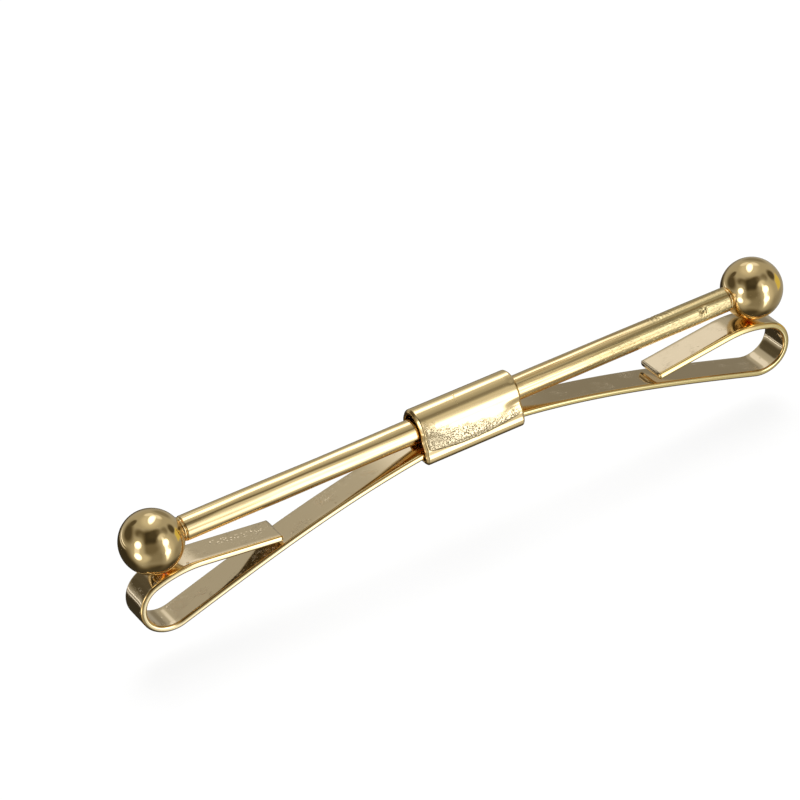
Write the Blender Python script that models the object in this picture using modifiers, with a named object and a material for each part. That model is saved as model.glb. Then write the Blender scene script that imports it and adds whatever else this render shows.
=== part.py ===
"""Sprung bar clip for a tie or a shirt collar.

A round bar carries a ball at each end and a crimped sleeve at its middle. The sleeve holds one long
flat spring under the bar. Each half of the spring bows down and away from the bar, rolls up into a
loop that bears on the underside of the ball, and comes back as a short flat tongue.

The clip stands on its two loops, with +X along the bar, +Y across the spring and +Z up.
"""

import math

import bmesh
import bpy
from mathutils import Matrix

MM = 0.001

# Bar and balls
BALL_SPACING = 53.6 * MM  # from the centre of one ball to the centre of the other
BALL_DIAMETER = 5.0 * MM
BAR_DIAMETER = 2.0 * MM
BAR_END_ROUNDING = 0.1 * MM
NECK_LENGTH = 0.2 * MM  # from the ball's surface to the end of the bar's full thickness
SPIGOT_DIAMETER = 1.0 * MM  # the turned-down end of the bar, let into the ball
SPIGOT_DEPTH = 1.4 * MM
SOLDER_INSET = 0.1 * MM  # how far the solder's edges lie below the bar's surface
SOLDER_BULGE = 0.06 * MM

# Flat spring
SPRING_WIDTH = 2.75 * MM
SPRING_THICKNESS = 0.55 * MM
SPRING_EDGE_ROUNDING = 0.1 * MM
MOUTH_SLOPE = math.radians(7.5)  # the spring's slope where it leaves the sleeve
RUN_SLOPE = math.radians(17.5)  # and where it starts to turn into the loop
LOOP_BOTTOM_RADIUS = 2.5 * MM  # radii at mid-thickness
LOOP_END_RADIUS = 2.0 * MM
LOOP_TOP_RADIUS = 8.8 * MM
LOOP_END_FROM = math.radians(35)  # the way the spring points where the tight end bend starts
LOOP_END_TO = math.radians(160)  # and where it stops
TONGUE_SLOPE = math.radians(7)
TONGUE_LENGTH = 6.7 * MM
CONTACT_TILT = math.radians(11)  # where the loop bears on the ball, inboard of its lowest point

# Sleeve
SLEEVE_LENGTH = 8.8 * MM
SLEEVE_WALL = 0.4 * MM
SLEEVE_PLAY = 0.2 * MM  # how much further than the fit gap the sleeve stands off the bar's top
SLEEVE_CRIMP = 0.15 * MM  # how far each flank is pressed in between the bar and the spring
SLEEVE_RIM_ROUNDING = 0.15 * MM
SPLIT_INSET = 0.8 * MM  # how far inside the sleeve's mouth each arm starts

FIT_GAP = 0.1 * MM  # between pieces that touch

# How finely curves are divided
TURNED_STEPS = 40
BALL_RINGS = 20
ARC_STEP = math.radians(7)
SMALL_ARC_STEP = math.radians(15)
RUN_STEPS = 16
SEAT_STEPS = 10
SOLDER_STEPS = 6
CRIMP_STEPS = 8

# What follows from the sizes above
ball_radius = BALL_DIAMETER / 2
bar_radius = BAR_DIAMETER / 2
spigot_radius = SPIGOT_DIAMETER / 2
ball_x = BALL_SPACING / 2
mouth_x = SLEEVE_LENGTH / 2
half_thickness = SPRING_THICKNESS / 2
half_width = SPRING_WIDTH / 2

# The spring touches the bar at the sleeve's middle and bows down evenly to the two mouths
seat_top = -(bar_radius + FIT_GAP)
seat_radius = mouth_x / math.sin(MOUTH_SLOPE)
mouth_z = seat_top - half_thickness - seat_radius * (1 - math.cos(MOUTH_SLOPE))


def heading(angle):
    """The step of length one that points at this angle."""
    return math.cos(angle), math.sin(angle)


def on_left_arc(centre, radius, angle):
    """Where a path turning left round a centre points at this angle."""
    return centre[0] + radius * math.sin(angle), centre[1] - radius * math.cos(angle)


def left_arc(centre, radius, start, end):
    """Points along a left-turning arc, leaving out the first."""
    steps = max(1, math.ceil((end - start) / ARC_STEP))
    return [on_left_arc(centre, radius, start + (end - start) * i / steps) for i in range(1, steps + 1)]


def loop_centres():
    """Centres of the loop's top, end and bottom arcs, from the place where it bears on the ball."""
    reach = ball_radius + FIT_GAP + half_thickness + LOOP_TOP_RADIUS
    top = (ball_x - reach * math.sin(CONTACT_TILT), -reach * math.cos(CONTACT_TILT))
    end = on_left_arc(top, LOOP_TOP_RADIUS - LOOP_END_RADIUS, LOOP_END_TO)
    bottom = on_left_arc(end, LOOP_END_RADIUS - LOOP_BOTTOM_RADIUS, LOOP_END_FROM)
    return top, end, bottom


loop_top, loop_end, loop_bottom = loop_centres()
axis_height = LOOP_BOTTOM_RADIUS + half_thickness - loop_bottom[1]  # of the bar above the ground


def seat_point(x):
    """The middle of the spring's thickness at this distance from the sleeve's middle."""
    angle = math.asin(x / seat_radius)
    return x, seat_top - half_thickness - seat_radius * (1 - math.cos(angle))


def run_points():
    """The run from the sleeve's mouth to the loop: a cubic with its slope set at both ends."""
    start = (mouth_x, mouth_z)
    end = on_left_arc(loop_bottom, LOOP_BOTTOM_RADIUS, -RUN_SLOPE)
    handle = math.dist(start, end) / 3
    out, back = heading(-MOUTH_SLOPE), heading(-RUN_SLOPE)
    corners = [
        start,
        (start[0] + handle * out[0], start[1] + handle * out[1]),
        (end[0] - handle * back[0], end[1] - handle * back[1]),
        end,
    ]
    points = []
    for i in range(RUN_STEPS + 1):
        t = i / RUN_STEPS
        weights = [(1 - t) ** 3, 3 * t * (1 - t) ** 2, 3 * t * t * (1 - t), t ** 3]
        points.append(tuple(sum(w * c[k] for w, c in zip(weights, corners)) for k in (0, 1)))
    return points


def arm_points():
    """The right arm from its root inside the sleeve, out along the run, round the loop, to the tongue's end."""
    tongue_heading = math.pi + TONGUE_SLOPE
    points = [seat_point(mouth_x - SPLIT_INSET + FIT_GAP / 2)]
    points += run_points()
    points += left_arc(loop_bottom, LOOP_BOTTOM_RADIUS, -RUN_SLOPE, 0)
    points += left_arc(loop_bottom, LOOP_BOTTOM_RADIUS, 0, LOOP_END_FROM)
    points += left_arc(loop_end, LOOP_END_RADIUS, LOOP_END_FROM, LOOP_END_TO)
    points += left_arc(loop_top, LOOP_TOP_RADIUS, LOOP_END_TO, tongue_heading)
    step = heading(tongue_heading)
    last = points[-1]
    points.append((last[0] + TONGUE_LENGTH * step[0], last[1] + TONGUE_LENGTH * step[1]))
    return points


def seat_points():
    """The short length of spring inside the sleeve, between the roots of the two arms."""
    reach = mouth_x - SPLIT_INSET - FIT_GAP / 2
    return [seat_point(reach * (2 * i / SEAT_STEPS - 1)) for i in range(SEAT_STEPS + 1)]


def bar_profile():
    """Half the bar's outline, from its middle to the tip of its spigot, as distance along and radius."""
    rounding = min(BAR_END_ROUNDING, bar_radius - spigot_radius)
    shoulder = ball_x - ball_radius - NECK_LENGTH
    tip = ball_x - ball_radius + SPIGOT_DEPTH
    steps = math.ceil(math.pi / 2 / SMALL_ARC_STEP)
    points = [(0, bar_radius)]
    for i in range(steps + 1):
        angle = math.pi / 2 * i / steps
        points.append((
            shoulder - rounding * (1 - math.sin(angle)),
            bar_radius - rounding * (1 - math.cos(angle)),
        ))
    if rounding < bar_radius - spigot_radius:
        points.append((shoulder, spigot_radius))
    return points + [(tip, spigot_radius), (tip, 0)]


def solder_profile():
    """Closed outline of the solder bead between a ball at the origin and the bar's end, towards +X."""
    outer = bar_radius - SOLDER_INSET
    bar_side = ball_radius + NECK_LENGTH - FIT_GAP
    meeting = math.sqrt(max(0, (ball_radius + FIT_GAP) ** 2 - bar_side ** 2))  # radius where its two sides meet
    inner = max(spigot_radius, meeting) + FIT_GAP

    def ball_side(radius):
        return math.sqrt((ball_radius + FIT_GAP) ** 2 - radius ** 2)

    points = [(bar_side, inner)]
    for i in range(SOLDER_STEPS + 1):
        t = i / SOLDER_STEPS
        along = bar_side + (ball_side(outer) - bar_side) * t
        points.append((along, outer + SOLDER_BULGE * math.sin(math.pi * t)))
    return points + [(ball_side(inner), inner)]


def sleeve_section():
    """Mid-wall outline drawn round the bar and the spring, at least one gap and half a wall away.

    From the top and down one side, as (y, z), then mirrored: an arc round the bar, a flank pressed in by the
    crimp, and small arcs round the spring's edge where it is highest, at the sleeve's middle, and lowest, at
    its mouths.
    """
    offset = FIT_GAP + SLEEVE_WALL / 2
    lift = SLEEVE_PLAY / 2  # of the top arc's centre above the bar's axis
    crown = bar_radius + lift
    low = mouth_z - half_thickness * math.cos(MOUTH_SLOPE)
    drop = lift - seat_top
    lean = math.atan2(drop, half_width)  # of the line from the top arc's centre to the spring's top edge
    flank = math.acos(crown / math.hypot(half_width, drop)) - lean  # the way the flank faces
    top = clockwise_arc((0, lift), crown + offset, math.pi / 2, flank, ARC_STEP)
    corner = clockwise_arc((half_width, seat_top), offset, flank, 0, SMALL_ARC_STEP)
    bottom = clockwise_arc((half_width, low), offset, 0, -math.pi / 2, SMALL_ARC_STEP)
    points = top + pressed_line(top[-1], corner[0], heading(flank)) + corner + bottom
    return points + [(-y, z) for y, z in points[:0:-1]]


def clockwise_arc(centre, radius, start, end, step):
    """Points along an arc from one angle down to another, both ends included."""
    steps = math.ceil((start - end) / step)
    angles = [start + (end - start) * i / steps for i in range(steps + 1)]
    return [(centre[0] + radius * math.cos(a), centre[1] + radius * math.sin(a)) for a in angles]


def pressed_line(start, end, outward):
    """Points between two ends of a flank, pushed in by the crimp along a smooth wave, ends left out."""
    points = []
    for i in range(1, CRIMP_STEPS):
        t = i / CRIMP_STEPS
        press = SLEEVE_CRIMP * (1 - math.cos(2 * math.pi * t)) / 2
        points.append(tuple(start[k] + (end[k] - start[k]) * t - press * outward[k] for k in (0, 1)))
    return points


def new_collection(name):
    collection = bpy.data.collections.new(name)
    bpy.context.scene.collection.children.link(collection)
    return collection


def new_material(name, colour, roughness):
    material = bpy.data.materials.new(name)
    material.use_nodes = True
    shader = material.node_tree.nodes["Principled BSDF"]
    shader.inputs["Base Color"].default_value = (*colour, 1)
    shader.inputs["Metallic"].default_value = 1
    shader.inputs["Roughness"].default_value = roughness
    return material


def add_object(name, mesh, collection, parent=None, location=(0, 0, 0), turn=0):
    """Links a mesh as an object, placed in its parent's frame and turned about the vertical."""
    item = bpy.data.objects.new(name, mesh)
    item.parent = parent
    item.location = location
    item.rotation_euler = (0, 0, turn)
    collection.objects.link(item)
    return item


def chain(bm, points, closed=False):
    """Joins points into a line of edges."""
    verts = [bm.verts.new(p) for p in points]
    edges = [bm.edges.new(pair) for pair in zip(verts, verts[1:])]
    if closed:
        edges.append(bm.edges.new((verts[-1], verts[0])))
    return edges


def swept_sheet(name, points, along, closed=False):
    """A thin sheet: a line of edges extruded by the vector along."""
    bm = bmesh.new()
    edges = chain(bm, points, closed)
    swept = bmesh.ops.extrude_edge_only(bm, edges=edges)["geom"]
    bmesh.ops.translate(bm, verts=[v for v in swept if isinstance(v, bmesh.types.BMVert)], vec=along)
    bmesh.ops.recalc_face_normals(bm, faces=bm.faces)
    mesh = bpy.data.meshes.new(name)
    bm.to_mesh(mesh)
    bm.free()
    return mesh


def turned_profile(name, points, closed=False):
    """A line of (distance along X, radius) points, ready for a Screw modifier about X."""
    bm = bmesh.new()
    chain(bm, [(x, 0, radius) for x, radius in points], closed)
    mesh = bpy.data.meshes.new(name)
    bm.to_mesh(mesh)
    bm.free()
    return mesh


def add_screw(item):
    screw = item.modifiers.new("turned", "SCREW")
    screw.axis = "X"
    screw.steps = TURNED_STEPS
    screw.render_steps = TURNED_STEPS
    screw.use_merge_vertices = True
    screw.merge_threshold = 0.001 * MM
    screw.use_smooth_shade = True


def add_thickness(item, thickness):
    solid = item.modifiers.new("thickness", "SOLIDIFY")
    solid.thickness = thickness
    solid.offset = 0
    solid.use_even_offset = True


def add_rounding(item, width):
    bevel = item.modifiers.new("rounded_edges", "BEVEL")
    bevel.width = width
    bevel.segments = 2
    bevel.limit_method = "ANGLE"
    bevel.angle_limit = math.radians(50)


def smooth(mesh):
    mesh.shade_smooth()
    mesh.set_sharp_from_angle(angle=math.radians(30))


def make_bar(parts, axis):
    half = bar_profile()
    whole = half[:0:-1] + [(-x, radius) for x, radius in half[1:]]
    bar = add_object("bar", turned_profile("bar", whole), parts, axis)
    add_screw(bar)
    bar.data.materials.append(new_material("bar_gold", (0.80, 0.68, 0.43), 0.16))


def make_ball_mesh():
    """A ball with its poles on X, so that the drilled hole is centred on one of them."""
    bm = bmesh.new()
    bmesh.ops.create_uvsphere(bm, u_segments=TURNED_STEPS, v_segments=BALL_RINGS, radius=ball_radius)
    bmesh.ops.rotate(bm, verts=bm.verts, matrix=Matrix.Rotation(math.pi / 2, 3, "Y"))
    mesh = bpy.data.meshes.new("ball")
    bm.to_mesh(mesh)
    bm.free()
    smooth(mesh)
    return mesh


def make_drill_mesh():
    """Cutter for the blind hole in a ball at the origin, drilled from +X."""
    bottom = ball_radius - SPIGOT_DEPTH - FIT_GAP
    top = ball_radius + NECK_LENGTH
    bm = bmesh.new()
    bmesh.ops.create_cone(
        bm, cap_ends=True, segments=TURNED_STEPS, depth=top - bottom,
        radius1=spigot_radius + FIT_GAP, radius2=spigot_radius + FIT_GAP,
    )
    quarter_step = math.pi / TURNED_STEPS / 2  # keeps its edges off the ball's own edges
    bmesh.ops.rotate(bm, verts=bm.verts, matrix=Matrix.Rotation(quarter_step, 3, "Z"))
    bmesh.ops.rotate(bm, verts=bm.verts, matrix=Matrix.Rotation(math.pi / 2, 3, "Y"))
    bmesh.ops.translate(bm, verts=bm.verts, vec=((top + bottom) / 2, 0, 0))
    mesh = bpy.data.meshes.new("drill")
    bm.to_mesh(mesh)
    bm.free()
    return mesh


def make_ends(parts, cutters, axis):
    """The ball, its drilled hole and the solder bead at each end of the bar."""
    ball_mesh, drill_mesh = make_ball_mesh(), make_drill_mesh()
    solder_mesh = turned_profile("solder", solder_profile(), closed=True)
    ball_mesh.materials.append(new_material("ball_gold", (0.78, 0.66, 0.41), 0.08))
    solder_mesh.materials.append(new_material("solder_gold", (0.74, 0.50, 0.22), 0.35))
    for side, sign, turn in (("left", -1, 0), ("right", 1, math.pi)):
        place = (sign * ball_x, 0, 0)
        ball = add_object(side + "_ball", ball_mesh, parts, axis, place, turn)
        drill = add_object(side + "_drill", drill_mesh, cutters, axis, place, turn)
        drill.hide_render = True
        drill.display_type = "WIRE"
        hole = ball.modifiers.new("spigot_hole", "BOOLEAN")
        hole.operation = "DIFFERENCE"
        hole.object = drill
        solder = add_object(side + "_solder_ring", solder_mesh, parts, axis, place, turn)
        add_screw(solder)


def make_sleeve(parts, axis):
    section = [(-mouth_x, y, z) for y, z in sleeve_section()]
    mesh = swept_sheet("sleeve", section, (SLEEVE_LENGTH, 0, 0), closed=True)
    mesh.materials.append(new_material("sleeve_gold", (0.80, 0.67, 0.42), 0.22))
    smooth(mesh)
    sleeve = add_object("sleeve", mesh, parts, axis)
    add_thickness(sleeve, SLEEVE_WALL)
    add_rounding(sleeve, SLEEVE_RIM_ROUNDING)


def spring_mesh(name, points, origin, material):
    """A length of the flat spring, with its mesh placed about origin."""
    edge = [(x - origin[0], -half_width, z - origin[1]) for x, z in points]
    mesh = swept_sheet(name, edge, (0, SPRING_WIDTH, 0))
    mesh.materials.append(material)
    smooth(mesh)
    return mesh


def finish_spring(item):
    add_thickness(item, SPRING_THICKNESS)
    add_rounding(item, SPRING_EDGE_ROUNDING)


def make_spring(parts, axis):
    """The spring's seat in the sleeve and its two arms, each hung on its hinge at a mouth of the sleeve."""
    material = new_material("spring_gold", (0.76, 0.65, 0.42), 0.14)
    seat = spring_mesh("spring_seat", seat_points(), (0, 0), material)
    finish_spring(add_object("spring_seat", seat, parts, axis))
    arm = spring_mesh("arm", arm_points(), (mouth_x, mouth_z), material)
    for side, sign, turn in (("left", -1, math.pi), ("right", 1, 0)):
        hinge = add_object(side + "_hinge", None, parts, axis, (sign * mouth_x, 0, mouth_z), turn)
        finish_spring(add_object(side + "_arm", arm, parts, hinge))


def build():
    for item in list(bpy.data.objects):
        bpy.data.objects.remove(item, do_unlink=True)
    parts = new_collection("tie_clip")
    cutters = new_collection("cutters")
    axis = add_object("bar_axis", None, parts, location=(0, 0, axis_height))
    make_bar(parts, axis)
    make_ends(parts, cutters, axis)
    make_sleeve(parts, axis)
    make_spring(parts, axis)


build()
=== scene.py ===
import math

import bpy
import numpy as np
from mathutils import Matrix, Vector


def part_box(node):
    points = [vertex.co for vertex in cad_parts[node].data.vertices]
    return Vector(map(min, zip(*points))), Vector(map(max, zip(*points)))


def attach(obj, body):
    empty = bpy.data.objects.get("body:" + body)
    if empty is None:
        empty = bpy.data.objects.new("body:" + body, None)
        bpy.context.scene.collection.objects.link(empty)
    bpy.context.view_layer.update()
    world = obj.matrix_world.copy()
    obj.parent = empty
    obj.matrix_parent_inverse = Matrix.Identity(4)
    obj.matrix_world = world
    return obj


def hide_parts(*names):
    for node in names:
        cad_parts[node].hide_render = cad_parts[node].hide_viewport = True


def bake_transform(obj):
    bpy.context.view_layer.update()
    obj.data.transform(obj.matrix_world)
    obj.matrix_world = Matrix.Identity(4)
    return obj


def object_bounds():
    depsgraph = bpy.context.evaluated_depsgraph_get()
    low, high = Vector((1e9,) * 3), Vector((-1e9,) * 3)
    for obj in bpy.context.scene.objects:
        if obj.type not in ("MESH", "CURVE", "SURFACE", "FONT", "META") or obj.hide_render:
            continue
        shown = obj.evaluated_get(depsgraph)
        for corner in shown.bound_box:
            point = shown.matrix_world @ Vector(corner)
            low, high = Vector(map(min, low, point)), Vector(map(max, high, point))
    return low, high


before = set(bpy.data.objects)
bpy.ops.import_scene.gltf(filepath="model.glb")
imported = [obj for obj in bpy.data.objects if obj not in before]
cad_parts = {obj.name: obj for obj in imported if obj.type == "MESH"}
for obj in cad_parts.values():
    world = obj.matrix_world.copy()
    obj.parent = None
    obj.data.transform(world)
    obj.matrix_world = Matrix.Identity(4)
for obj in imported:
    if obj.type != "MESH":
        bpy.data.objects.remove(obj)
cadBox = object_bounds()
print("frame loaded:", ", ".join(sorted(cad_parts)))

mm = 0.001

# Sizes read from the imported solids
ballLow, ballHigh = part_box("left_ball")
barLow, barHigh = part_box("bar")
ballRadius = (ballHigh.z - ballLow.z) / 2
axisHeight = (ballHigh.z + ballLow.z) / 2
ballX = -ballLow.x - ballRadius
barRadius = (barHigh.z - barLow.z) / 2
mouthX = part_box("sleeve")[1].x  # half the sleeve's length

fitGap = 0.1 * mm  # between pieces that touch

# The bar's turned-down ends: how far they reach, and the neck that shows between the bar and each ball
spigot = {"radius": 0.5 * mm, "tip": barHigh.x, "neck": 0.05 * mm}


# A socket of a shader tree with Python's operators, each of which adds a Math node
class Wire:
    def __init__(self, shader, socket):
        self.shader = shader
        self.socket = socket

    def __add__(self, other):
        return self.shader.calc("ADD", self, other)

    def __radd__(self, other):
        return self.shader.calc("ADD", other, self)

    def __sub__(self, other):
        return self.shader.calc("SUBTRACT", self, other)

    def __rsub__(self, other):
        return self.shader.calc("SUBTRACT", other, self)

    def __mul__(self, other):
        return self.shader.calc("MULTIPLY", self, other)

    def __rmul__(self, other):
        return self.shader.calc("MULTIPLY", other, self)

    def __truediv__(self, other):
        return self.shader.calc("DIVIDE", self, other)

    def __pow__(self, other):
        return self.shader.calc("POWER", self, other)

    def __abs__(self):
        return self.shader.calc("ABSOLUTE", self)


class Shader:
    def __init__(self, tree):
        self.tree = tree
        tree.nodes.clear()

    # Any node: its settings are set first, then its sockets are given values or links. Where out is a
    # tuple, all the outputs that it names come back.
    def node(self, kind, settings=None, sockets=None, out=0):
        made = self.tree.nodes.new("ShaderNode" + kind)
        for name, value in (settings or {}).items():
            setattr(made, name, value)
        for name, value in (sockets or {}).items():
            if isinstance(value, Wire):
                self.tree.links.new(value.socket, made.inputs[name])
            else:
                made.inputs[name].default_value = value
        if isinstance(out, tuple):
            return [Wire(self, made.outputs[name]) for name in out]
        return Wire(self, made.outputs[out]) if len(made.outputs) else made

    def calc(self, operation, *values):
        return self.node("Math", {"operation": operation}, dict(enumerate(values)))

    # Rises smoothly from start to end while value goes from low to high
    def rise(self, value, low, high, start=0.0, end=1.0):
        ends = {"Value": value, "From Min": low, "From Max": high, "To Min": start, "To Max": end}
        return self.node("MapRange", {"interpolation_type": "SMOOTHSTEP"}, ends)

    def fall(self, value, low, high):
        return self.rise(value, low, high, 1.0, 0.0)

    def blendColour(self, factor, first, second):
        return self.node("Mix", {"data_type": "RGBA"}, {0: factor, 6: first, 7: second}, out=2)

    # Object coordinates in millimetres, drawn out along the axes by the given shares
    def place(self, shares=(1, 1, 1)):
        where = self.node("TexCoord", out="Object")
        scale = [share / mm for share in shares]
        return self.node("Mapping", {}, {"Vector": where, "Scale": scale})

    # The piece's own map in millimetres: along it, and round it
    def mapped(self, shares=(1, 1, 1)):
        where = self.node("UVMap", {"uv_map": "surface"})
        return self.node("Mapping", {}, {"Vector": where, "Scale": shares})

    def noise(self, vector, scale, detail=2.0, roughness=0.5, distortion=0.0):
        sockets = {"Vector": vector, "Scale": scale, "Detail": detail, "Roughness": roughness,
                   "Distortion": distortion}
        return self.node("TexNoise", {"normalize": True}, sockets)

    # Distance to the nearest of many scattered points
    def cells(self, vector, scale):
        return self.node("TexVoronoi", {"feature": "F1"}, {"Vector": vector, "Scale": scale})

    def parts(self, vector):
        return self.node("SeparateXYZ", {}, {"Vector": vector}, out=("X", "Y", "Z"))

    def bump(self, height, depth, under=None):
        sockets = {"Height": height, "Distance": depth, "Strength": 1.0}
        if under is not None:
            sockets["Normal"] = under
        return self.node("Bump", {}, sockets)


# Smooth random field over points: a sum of plane waves with random ways, phases and lengths near size
def waves(points, size, seed, count=28):
    rng = np.random.default_rng(seed)
    ways = rng.normal(size=(count, 3))
    ways /= np.linalg.norm(ways, axis=1, keepdims=True)
    lengths = size * rng.uniform(0.6, 1.7, count)
    phases = rng.uniform(0, 2 * math.pi, count)
    turns = points @ (ways / lengths[:, None]).T * 2 * math.pi + phases
    return np.sin(turns).sum(axis=-1) / math.sqrt(count / 2)


# Smooth step from 0 to 1 as value goes from low to high
def step(value, low, high):
    share = np.clip((value - low) / (high - low), 0, 1)
    return share * share * (3 - 2 * share)


# Mesh from a grid of points [along, round, xyz], closed round: quads between neighbouring rows, and at an
# open end a fan to the point given as pole. The map holds millimetres along and round. Rows run so that
# along x round points outwards.
def gridPiece(name, rows, poles=None, closedAlong=False):
    count, around = rows.shape[:2]
    index = np.arange(count * around).reshape(count, around)
    points = rows.reshape(-1, 3)
    nextRow = np.roll(rows, -1, axis=0)
    lengthAlong = np.linalg.norm(nextRow - rows, axis=2).mean(axis=1)
    lengthRound = np.linalg.norm(np.roll(rows, -1, axis=1) - rows, axis=2).mean(axis=0)
    along = np.concatenate([[0], np.cumsum(lengthAlong)]) / mm
    aroundAt = np.concatenate([[0], np.cumsum(lengthRound)]) / mm
    last = count if closedAlong else count - 1
    i, j = np.meshgrid(np.arange(last), np.arange(around), indexing="ij")
    corners = [(i, j), (i + 1, j), (i + 1, j + 1), (i, j + 1)]
    quads = np.stack([index[a % count, b % around] for a, b in corners], axis=-1).reshape(-1, 4)
    quadMap = np.stack([np.stack([along[a], aroundAt[b]], axis=-1) for a, b in corners], axis=2)
    quadMap = quadMap.reshape(-1, 2)
    loops, starts, maps = [quads.ravel()], [np.arange(len(quads)) * 4], [quadMap]
    if poles is not None:
        points = np.vstack([points, poles])
        ring = np.arange(around)
        for pole, row, turned in ((count * around, 0, False), (count * around + 1, count - 1, True)):
            here, there = index[row, ring], index[row, (ring + 1) % around]
            first, second = (there, here) if turned else (here, there)
            fan = np.stack([np.full(around, pole), first, second], axis=-1)
            starts.append(sum(len(part) for part in loops) + np.arange(around) * 3)
            loops.append(fan.ravel())
            edgeMap = np.stack([np.full(around, along[row]), aroundAt[:-1]], axis=-1)
            maps.append(np.repeat(edgeMap, 3, axis=0))
    loops, starts, maps = np.concatenate(loops), np.concatenate(starts), np.vstack(maps)
    mesh = bpy.data.meshes.new(name)
    mesh.vertices.add(len(points))
    mesh.vertices.foreach_set("co", points.astype(np.float32).ravel())
    mesh.loops.add(len(loops))
    mesh.loops.foreach_set("vertex_index", loops.astype(np.int32))
    mesh.polygons.add(len(starts))
    mesh.polygons.foreach_set("loop_start", starts.astype(np.int32))
    mesh.update(calc_edges=True)
    mesh.uv_layers.new(name="surface").data.foreach_set("uv", maps.astype(np.float32).ravel())
    mesh.shade_smooth()
    mesh.validate()
    piece = bpy.data.objects.new(name, mesh)
    bpy.context.scene.collection.objects.link(piece)
    return piece


def dress(piece, material, nodes, body):
    piece.data.materials.append(material)
    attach(piece, body)
    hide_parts(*nodes)
    print("made", piece.name, len(piece.data.polygons), "faces")


# Surface of revolution about the bar's axis: x along, radius turned through the whole circle
def turned(x, radius, steps):
    turn = np.linspace(0, 2 * math.pi, steps, endpoint=False)
    return np.stack([
        np.broadcast_to(x[:, None], (len(x), steps)),
        -radius[:, None] * np.cos(turn),
        axisHeight + radius[:, None] * np.sin(turn),
    ], axis=-1)


# Moves turned rows in or out from the bar's axis
def swell(rows, amount):
    out = rows - np.array([0, 0, axisHeight])
    out[..., 0] = 0
    return rows + out / np.linalg.norm(out, axis=-1, keepdims=True) * amount[..., None]


# Colours of the gold plating
goldTone = {
    "rich": (0.95, 0.722, 0.36, 1),  # of the bar, the balls and the sleeve
    "deep": (0.80, 0.53, 0.20, 1),  # in clouds over it
    "pale": (0.93, 0.75, 0.475, 1),  # of the spring
    "dusky": (0.88, 0.68, 0.40, 1),  # in clouds over that
    "edge": (0.95, 0.76, 0.33, 1),  # on the strip's cut edges
    "corner": (0.86, 0.52, 0.16, 1),  # painted reflection along the strip's corners and the sleeve's rims
    "worn": (0.80, 0.67, 0.42, 1),  # where the sleeve's plating is grainy
    "paintedBoreShade": (0.30, 0.21, 0.10, 1),  # painted shade inside the sleeve's bore
    "mark": (0.66, 0.42, 0.15, 1),  # fine lines along the bar
    "tarnish": (0.42, 0.35, 0.22, 1),  # in the sleeve's deeper pits
    "dull": (0.66, 0.53, 0.245, 1),  # at the bar's right end
}


def newMaterial(name):
    material = bpy.data.materials.new(name)
    material.use_nodes = True
    return material, Shader(material.node_tree)


def finishGold(shader, colour, roughness, normal):
    sockets = {"Base Color": colour, "Metallic": 1.0, "Roughness": roughness, "Normal": normal}
    surface = shader.node("BsdfPrincipled", {}, sockets)
    shader.node("OutputMaterial", {}, {"Surface": surface})


barFinish = {
    "roughness": 0.10,
    "drawLines": 0.014 * mm,  # depth of the fine lines that run along the bar, at its right end
    "leftShare": 0.35,  # of that depth at its left end
    "drawn": (-14, 8),  # millimetres along the bar between which they deepen
    "grain": 0.012 * mm,  # of the rough plating
    "specks": 0.012 * mm,
    "roughFront": (8, 14),  # millimetres along the bar between which its front turns rough
    "roughBack": (12, 20),
}


def barMaterial():
    material, shader = newMaterial("bar_gold_plate")
    x, y, z = shader.parts(shader.place())
    lines = shader.noise(shader.place((0.012, 1, 1)), 5.5, 3.0, 0.55)
    fine = shader.noise(shader.place((0.05, 1, 1)), 13.0, 2.0, 0.6)
    up = z - axisHeight / mm
    front = shader.rise(y * -1 + up * -0.35, 0.15, 0.75)
    front = front + (1 - front) * shader.rise(x, *barFinish["roughBack"])
    rough = shader.rise(x, *barFinish["roughFront"]) * front
    grain = shader.noise(shader.place((0.025, 1, 1)), 9.0, 3.0, 0.6)
    specks = shader.rise(shader.cells(shader.place((0.25, 1, 1)), 8.0), 0.0, 0.45)
    low = shader.rise(y * -1 + up * -0.6, 0.3, 0.7)
    drawn = shader.rise(x, *barFinish["drawn"], barFinish["leftShare"], 1.0)
    relief = shader.bump((lines * 0.7 + fine * 0.3) * drawn, barFinish["drawLines"])
    relief = shader.bump(grain * rough, barFinish["grain"], relief)
    relief = shader.bump(specks * rough * (0.15 + low * 0.85), barFinish["specks"], relief)
    cloud = shader.noise(shader.place(), 0.7, 3.0)
    roughness = barFinish["roughness"] + rough * 0.09 + drawn * 0.04 + shader.rise(cloud, 0.4, 0.7) * 0.03
    colour = shader.blendColour(cloud * 0.15, goldTone["rich"], goldTone["deep"])
    colour = shader.blendColour(rough * 0.75, colour, goldTone["dull"])
    marks = shader.noise(shader.place((0.01, 1, 1)), 6.0, 3.0, 0.6)
    warm = shader.rise(marks, 0.52, 0.6) * shader.fall(marks, 0.6, 0.68)
    colour = shader.blendColour(warm * (0.3 + drawn * 0.5), colour, goldTone["mark"])
    finishGold(shader, colour, roughness, relief)
    return material


barShape = {
    "endRounding": 0.1 * mm,
    "ringEvery": 0.06 * mm,
    "roundingRings": 9,
    "neckRings": 8,
    "steps": 80,
    "wander": 0.006 * mm,  # slow unevenness of the drawn bar
    "wanderSize": 1.1 * mm,
    "streaks": (0.002 * mm, 0.003 * mm),  # depth of the straight draw marks, at its left and right end
    "streakSize": 0.27 * mm,
    "streaksDeepen": (-10 * mm, 14 * mm),
    "pits": [  # place along the bar, degrees from its top to the front, size, depth
        (21.7 * mm, 66, 0.3 * mm, 0.05 * mm),
        (17.7 * mm, -14, 0.5 * mm, 0.03 * mm),
        (19.0 * mm, -12, 0.4 * mm, 0.02 * mm),
    ],
    "pitGrain": 0.16 * mm,  # size of the waves that roughen each pit
    "pitRoughness": 0.9,
}


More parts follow.
